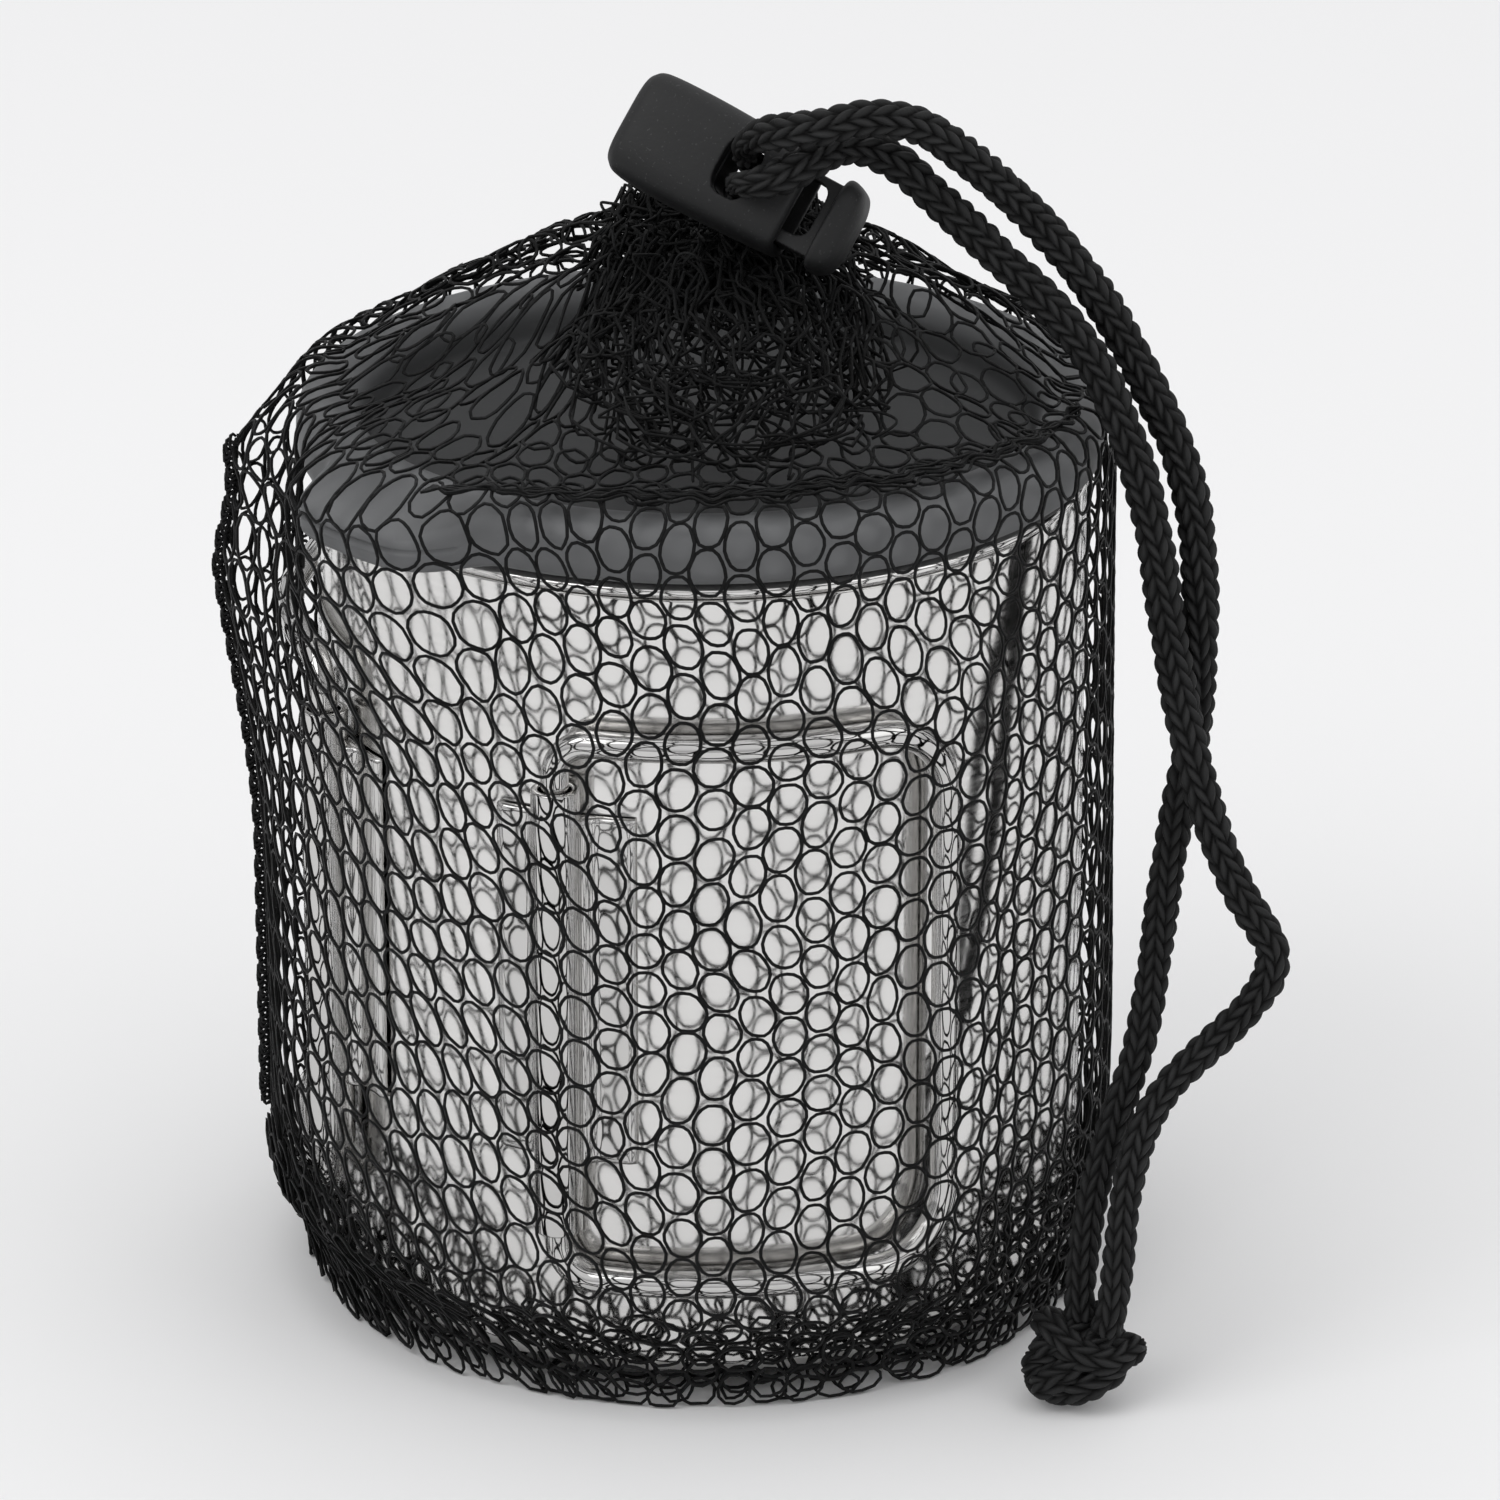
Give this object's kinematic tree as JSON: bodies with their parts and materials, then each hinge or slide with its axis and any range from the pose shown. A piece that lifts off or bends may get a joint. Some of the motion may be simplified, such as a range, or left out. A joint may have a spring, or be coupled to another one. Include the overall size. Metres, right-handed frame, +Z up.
{
  "type": "packed camping mug with folding handles",
  "caption": "Steel camping mug with folding wire handles and a press-in lid, packed in a knitted drawstring bag with a cord lock.",
  "frame": {"origin": "middle of the flat underside of the bag, on the surface it stands on, on the mug's axis", "axes": "+Z up along the mug's axis; -Y towards the front folding handle; the cords hang at +X"},
  "size_m": [0.1201, 0.0954, 0.1388],
  "materials": {
    "steel": "mirror polished stainless",
    "wire": "polished stainless wire",
    "lid_plastic": "smooth satin grey",
    "seal_rubber": "silicone",
    "net": "black knitted polyester net",
    "lock_plastic": "fine matte black",
    "spring_steel": "bright spring wire",
    "cord": "black braided polyester"
  },
  "bodies": {
    "mug": {"outer_wall": "steel", "inner_wall": "steel", "base_cap": "steel", "front_hinge_plate": "steel", "side_hinge_plate": "steel"},
    "front_handle": {"front_handle": "wire"},
    "side_handle": {"side_handle": "wire"},
    "lid": {"lid_body": "lid_plastic", "lid_seal": "seal_rubber"},
    "bag": {"bag_wall": "net", "bag_base": "net", "bottom_seam": "net", "side_seam": "net", "hem_channel": "net", "hem_frill": "net", "drawstring_loop": "cord", "lock_body": "lock_plastic", "lock_spring": "spring_steel", "rear_cord": "cord", "near_cord": "cord", "end_knot": "cord"},
    "plunger": {"lock_plunger": "lock_plastic"}
  },
  "joints": [
    {"name": "bag_lift", "type": "slide", "parent": "mug", "child": "bag", "axis": [0, 0, 1], "range_m": [0, 0.15], "deforming": ["bag_wall", "bag_base", "bottom_seam", "side_seam"]},
    {"name": "lid_lift", "type": "slide", "parent": "mug", "child": "lid", "axis": [0, 0, 1], "range_m": [0, 0.0375]},
    {"name": "front_handle_hinge", "type": "hinge", "parent": "mug", "child": "front_handle", "pos_m": [-0.01524, -0.04234, 0], "axis": [0, 0, -1], "range_deg": [0, 150]},
    {"name": "side_handle_hinge", "type": "hinge", "parent": "mug", "child": "side_handle", "pos_m": [-0.04062, -0.01937, 0], "axis": [0, 0, 1], "range_deg": [0, 150]},
    {"name": "plunger_press", "type": "slide", "parent": "bag", "child": "plunger", "axis": [-0.8581, 0.3575, 0.3685], "range_m": [0, 0.0034], "stiffness_N_per_m": 400, "springref_m": -0.003, "deforming": ["lock_spring"]}
  ],
  "couplings": [
    {"joint": "lid_lift", "follows": "bag_lift", "ratio": 0.25},
    {"joint": "front_handle_hinge", "follows": "bag_lift", "rad_per_m": 17.4},
    {"joint": "side_handle_hinge", "follows": "bag_lift", "rad_per_m": 17.4}
  ]
}
